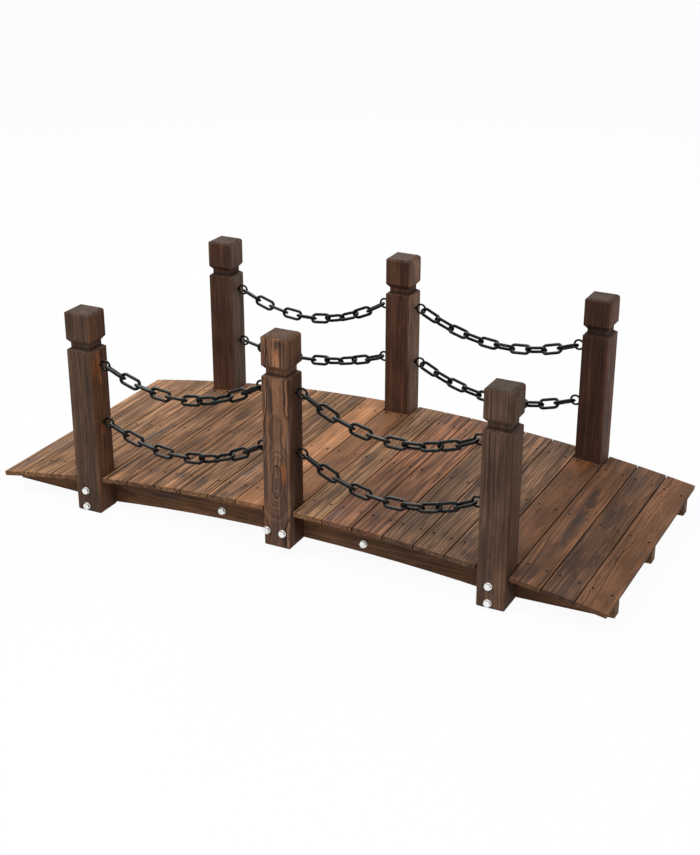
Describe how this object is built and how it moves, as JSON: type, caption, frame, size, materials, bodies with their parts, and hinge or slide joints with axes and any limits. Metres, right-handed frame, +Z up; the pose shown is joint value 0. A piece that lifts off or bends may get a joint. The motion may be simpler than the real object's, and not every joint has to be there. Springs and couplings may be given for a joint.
{
  "type": "garden bridge",
  "caption": "Arched wooden garden footbridge of cross boards on arched beams, with capped square posts and black chains slung between them as railings.",
  "frame": {"origin": "on the ground, under the middle of the bridge", "axes": "+X along the deck from left to right, +Y across the deck from the front railing to the back one, +Z up"},
  "size_m": [1.4972, 0.6902, 0.515],
  "materials": {
    "post_wood": "dark brown stain over burnt softwood grain, matt",
    "beam_wood": "dark brown stain over softwood grain, matt",
    "deck_wood": "mid-brown stain over burnt softwood grain, matt",
    "chain_iron": "satin black",
    "bolt_steel": "bright zinc plate"
  },
  "bodies": {
    "root": {"back_beam": "beam_wood", "back_bolts": "bolt_steel", "back_left_lower_chain": "chain_iron", "back_left_post": "post_wood", "back_left_upper_chain": "chain_iron", "back_middle_post": "post_wood", "back_right_lower_chain": "chain_iron", "back_right_post": "post_wood", "back_right_upper_chain": "chain_iron", "back_screw_eyes": "chain_iron", "deck_board_01": "deck_wood", "deck_board_02": "deck_wood", "deck_board_03": "deck_wood", "deck_board_04": "deck_wood", "deck_board_05": "deck_wood", "deck_board_06": "deck_wood", "deck_board_07": "deck_wood", "deck_board_08": "deck_wood", "deck_board_09": "deck_wood", "deck_board_10": "deck_wood", "deck_board_11": "deck_wood", "deck_board_12": "deck_wood", "deck_board_13": "deck_wood", "deck_board_14": "deck_wood", "deck_board_15": "deck_wood", "deck_board_16": "deck_wood", "deck_board_17": "deck_wood", "deck_board_18": "deck_wood", "deck_board_19": "deck_wood", "deck_board_20": "deck_wood", "deck_board_21": "deck_wood", "front_beam": "beam_wood", "front_bolts": "bolt_steel", "front_left_lower_chain": "chain_iron", "front_left_post": "post_wood", "front_left_upper_chain": "chain_iron", "front_middle_post": "post_wood", "front_right_lower_chain": "chain_iron", "front_right_post": "post_wood", "front_right_upper_chain": "chain_iron", "front_screw_eyes": "chain_iron", "left_cross_rail": "beam_wood", "middle_beam": "beam_wood", "right_cross_rail": "beam_wood"}
  },
  "joints": []
}
